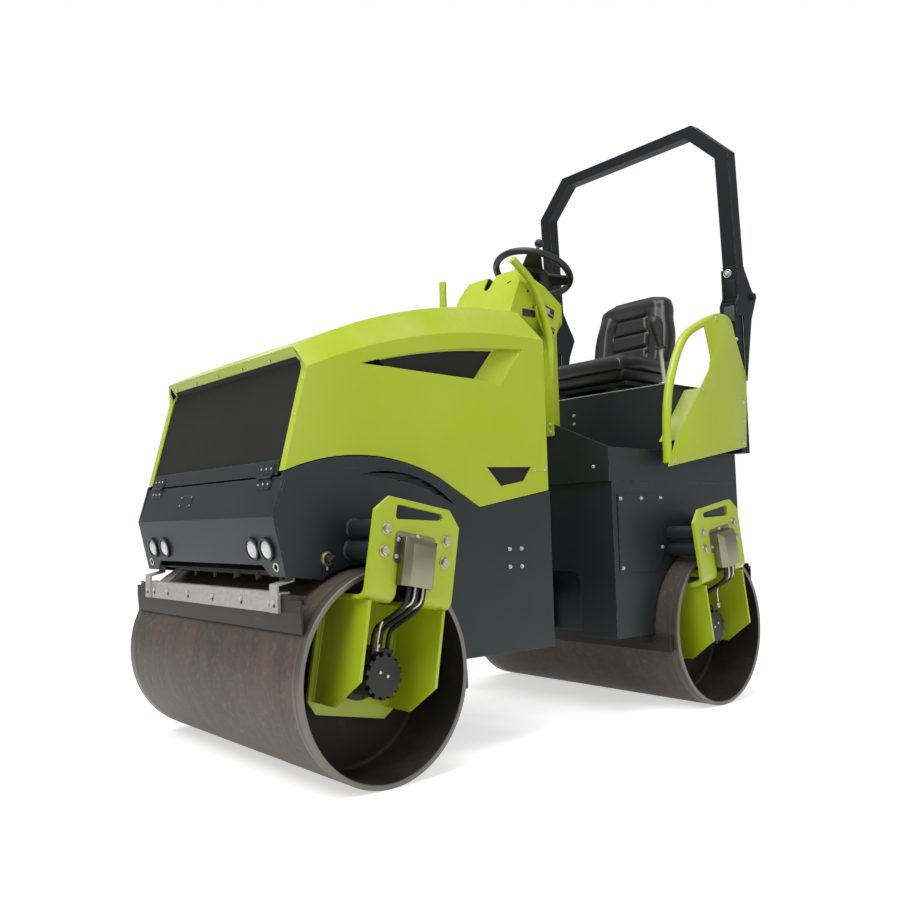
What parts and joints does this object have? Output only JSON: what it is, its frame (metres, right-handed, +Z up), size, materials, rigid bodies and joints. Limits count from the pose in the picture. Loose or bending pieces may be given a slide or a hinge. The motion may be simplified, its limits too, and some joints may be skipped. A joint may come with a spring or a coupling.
{
  "type": "articulated tandem road roller",
  "caption": "Ride-on twin-drum roller with a centre steering joint, hinged engine hood, open operator's platform and a folding roll bar.",
  "frame": {"origin": "on the ground under the middle of the overall length, on the machine's centre plane", "axes": "+X to the machine's left, -Y forwards, +Z up"},
  "size_m": [1.484, 2.837, 2.8904],
  "materials": {
    "paint_green": "gloss lime green enamel on sheet steel",
    "paint_dark": "satin blue-grey enamel",
    "paint_black": "satin black enamel",
    "drum_steel": "rolled steel shell, worn and lightly rusted by use",
    "stainless": "brushed stainless sheet",
    "galvanized": "galvanized",
    "blade_steel": "bare dark spring steel",
    "chrome_rod": "hard chromed rod",
    "machine_iron": "black painted castings",
    "black_plastic": "black, slightly rough",
    "hose_rubber": "black hydraulic hose",
    "seat_vinyl": "black padded vinyl",
    "lamp_glass": "clear moulded lens"
  },
  "bodies": {
    "rear_frame": {"rear_chassis": "paint_dark", "side_hatches": "paint_dark", "platform": "paint_dark", "seat_pedestal": "paint_dark", "seat_frame": "paint_black", "seat_cushion": "seat_vinyl", "seat_back": "seat_vinyl", "travel_lever": "paint_black", "console": "paint_green", "steering_column": "paint_black", "grab_rails": "paint_green", "side_guards": "paint_green", "roll_bar_posts": "paint_black", "rear_yokes": "paint_green", "rear_cross_tubes": "paint_dark", "rear_pipe_covers": "stainless", "rear_drum_motors": "machine_iron", "rear_scraper_beam": "galvanized", "rear_scrapers": "blade_steel", "rear_spray_bar": "black_plastic", "rear_hoses": "hose_rubber"},
    "centre_link": {"centre_link": "paint_dark"},
    "front_frame": {"front_skirts": "paint_dark", "front_chassis": "paint_dark", "bumper": "paint_dark", "headlamps": "black_plastic", "headlamp_lenses": "lamp_glass", "isolator_switch": "galvanized", "engine_block": "machine_iron", "skirt_slats": "black_plastic", "steering_pin": "stainless", "steering_cylinder_barrel": "machine_iron", "front_yokes": "paint_green", "front_cross_tubes": "paint_dark", "front_pipe_covers": "stainless", "front_drum_motors": "machine_iron", "front_scraper_beam": "galvanized", "front_scrapers": "blade_steel", "front_spray_bar": "black_plastic", "front_hoses": "hose_rubber"},
    "hood": {"hood": "paint_green", "hood_trim": "paint_dark", "hood_meshes": "black_plastic"},
    "cylinder_rod": {"steering_cylinder_rod": "chrome_rod"},
    "front_drum": {"front_drum": "drum_steel"},
    "rear_drum": {"rear_drum": "drum_steel"},
    "roll_bar": {"roll_bar_arch": "paint_black"},
    "steering_wheel": {"steering_wheel": "black_plastic"}
  },
  "joints": [
    {"name": "frame_roll", "type": "hinge", "parent": "rear_frame", "child": "centre_link", "pos_m": [0, 0.3305, 0.515], "axis": [0, 1, 0], "range_deg": [-8, 8]},
    {"name": "steer", "type": "hinge", "parent": "centre_link", "child": "front_frame", "pos_m": [0, -0.0695, 0.515], "axis": [0, 0, 1], "range_deg": [-30, 30]},
    {"name": "steering_rod_slide", "type": "slide", "parent": "front_frame", "child": "cylinder_rod", "axis": [-0.0976, 0.9952, 0], "range_m": [-0.0915, 0.0915]},
    {"name": "front_drum_spin", "type": "hinge", "parent": "front_frame", "child": "front_drum", "pos_m": [0, -1.0565, 0.35], "axis": [1, 0, 0], "continuous": true},
    {"name": "rear_drum_spin", "type": "hinge", "parent": "rear_frame", "child": "rear_drum", "pos_m": [0, 0.9175, 0.35], "axis": [1, 0, 0], "continuous": true},
    {"name": "hood_lift", "type": "hinge", "parent": "front_frame", "child": "hood", "pos_m": [0, -1.3865, 1.001], "axis": [1, 0, 0], "range_deg": [0, 60]},
    {"name": "roll_bar_fold", "type": "hinge", "parent": "rear_frame", "child": "roll_bar", "pos_m": [0, 1.3825, 1.958], "axis": [-1, 0, 0], "range_deg": [0, 110]},
    {"name": "wheel_turn", "type": "hinge", "parent": "rear_frame", "child": "steering_wheel", "pos_m": [0, 0.4385, 2.076], "axis": [0, 0.4067, 0.9135], "continuous": true}
  ],
  "couplings": [
    {"joint": "steering_rod_slide", "follows": "steer", "m_per_rad": -0.17212}
  ]
}
